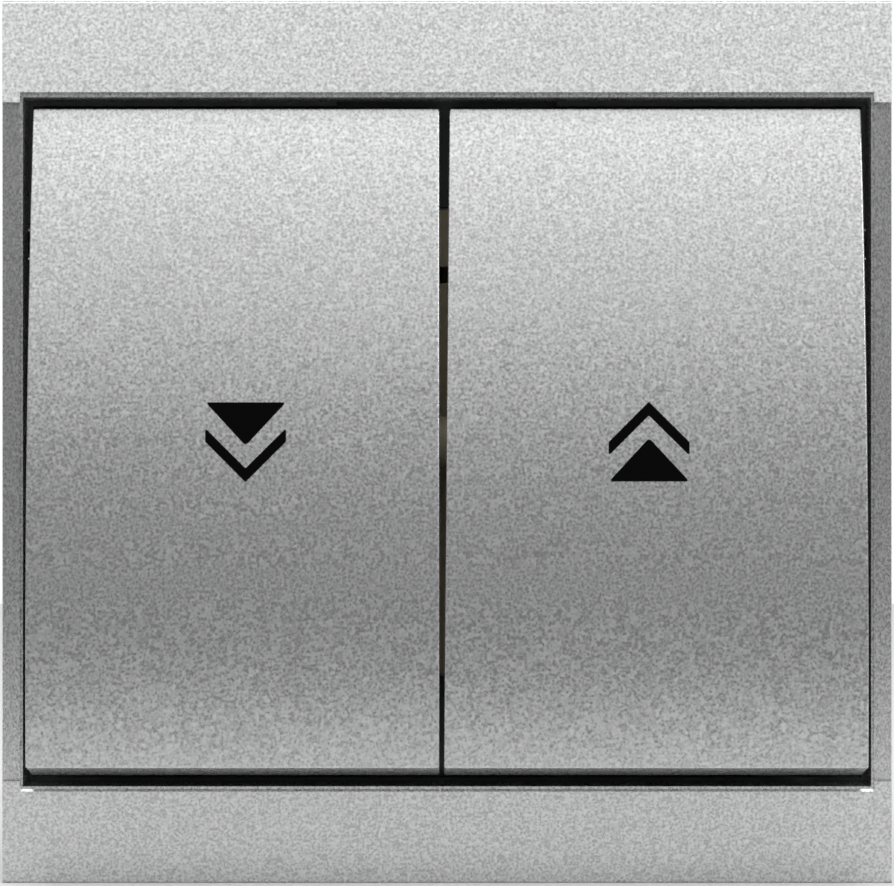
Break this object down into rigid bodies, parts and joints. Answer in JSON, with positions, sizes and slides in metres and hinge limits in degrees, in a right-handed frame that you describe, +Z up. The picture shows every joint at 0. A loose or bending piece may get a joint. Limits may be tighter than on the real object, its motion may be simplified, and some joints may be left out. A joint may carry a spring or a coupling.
{
  "type": "roller shutter switch",
  "caption": "Flush-mounted roller shutter switch with a silver cover frame, a down rocker and an up rocker on a claw-fixed mechanism.",
  "frame": {"origin": "middle of the fixing screws' pattern, on the wall's surface", "axes": "+Z up, +X to the right as seen from the front, +Y into the wall, so that the rockers face -Y"},
  "size_m": [0.084, 0.0395, 0.0834],
  "materials": {
    "silver_paint": "silver metallic paint on moulded plastic",
    "black_plastic": "fine matt moulding",
    "cream_plastic": "smooth moulding",
    "ivory_plastic": "smooth moulding",
    "zinc_steel": "bright zinc plating",
    "spring_steel": "drawn wire",
    "copper_alloy": "stamped strip",
    "brass": "extruded and tumbled"
  },
  "bodies": {
    "housing": {"cover_frame": "silver_paint", "inner_frame": "black_plastic", "support_plate": "zinc_steel", "front_cover": "cream_plastic", "base_housing": "ivory_plastic", "pivot_pin": "zinc_steel", "return_spring_down": "spring_steel", "return_spring_up": "spring_steel", "common_strip": "copper_alloy", "fixed_contact_down": "copper_alloy", "fixed_contact_up": "copper_alloy", "terminal_clamps": "brass", "terminal_screws": "zinc_steel", "cover_screws": "zinc_steel"},
    "down_rocker": {"rocker_down": "silver_paint", "cradle_down": "ivory_plastic"},
    "up_rocker": {"rocker_up": "silver_paint", "cradle_up": "ivory_plastic"},
    "down_contact": {"contact_arm_down": "copper_alloy"},
    "up_contact": {"contact_arm_up": "copper_alloy"},
    "left_claw": {"claw_left": "zinc_steel"},
    "right_claw": {"claw_right": "zinc_steel"},
    "left_claw_screw": {"claw_screw_left": "zinc_steel"},
    "right_claw_screw": {"claw_screw_right": "zinc_steel"}
  },
  "joints": [
    {"name": "rocker_down_tilt", "type": "hinge", "parent": "housing", "child": "down_rocker", "pos_m": [-0.0199, -0.0055, 0], "axis": [1, 0, 0], "range_deg": [0, 11.5], "stiffness_Nm_per_rad": 0.2, "springref_deg": -14.32, "deforming": ["return_spring_down"]},
    {"name": "rocker_up_tilt", "type": "hinge", "parent": "housing", "child": "up_rocker", "pos_m": [0.0199, -0.0055, 0], "axis": [1, 0, 0], "range_deg": [0, 11.5], "stiffness_Nm_per_rad": 0.2, "springref_deg": -14.32, "deforming": ["return_spring_up"]},
    {"name": "contact_down_swing", "type": "hinge", "parent": "housing", "child": "down_contact", "pos_m": [-0.0065, 0.00209, 0.009], "axis": [1, 0, 0], "range_deg": [0, 6.6]},
    {"name": "contact_up_swing", "type": "hinge", "parent": "housing", "child": "up_contact", "pos_m": [0.0065, 0.00209, 0.009], "axis": [1, 0, 0], "range_deg": [0, 6.6]},
    {"name": "claw_screw_left_turn", "type": "hinge", "parent": "housing", "child": "left_claw_screw", "pos_m": [-0.0251, 0, 0.0065], "axis": [0, 1, 0], "range_deg": [0, 1100]},
    {"name": "claw_screw_right_turn", "type": "hinge", "parent": "housing", "child": "right_claw_screw", "pos_m": [0.0251, 0, -0.0065], "axis": [0, 1, 0], "range_deg": [0, 1100]},
    {"name": "claw_left_swing", "type": "hinge", "parent": "housing", "child": "left_claw", "pos_m": [-0.0212, -0.0004, 0.0065], "axis": [0, 0, 1], "range_deg": [0, 16]},
    {"name": "claw_right_swing", "type": "hinge", "parent": "housing", "child": "right_claw", "pos_m": [0.0212, -0.0004, -0.0065], "axis": [0, 0, -1], "range_deg": [0, 16]}
  ],
  "couplings": [
    {"joint": "contact_down_swing", "follows": "rocker_down_tilt", "ratio": 0.5226},
    {"joint": "contact_up_swing", "follows": "rocker_up_tilt", "ratio": 0.5226},
    {"joint": "claw_screw_left_turn", "follows": "claw_left_swing", "ratio": 67.5},
    {"joint": "claw_screw_right_turn", "follows": "claw_right_swing", "ratio": 67.5}
  ]
}
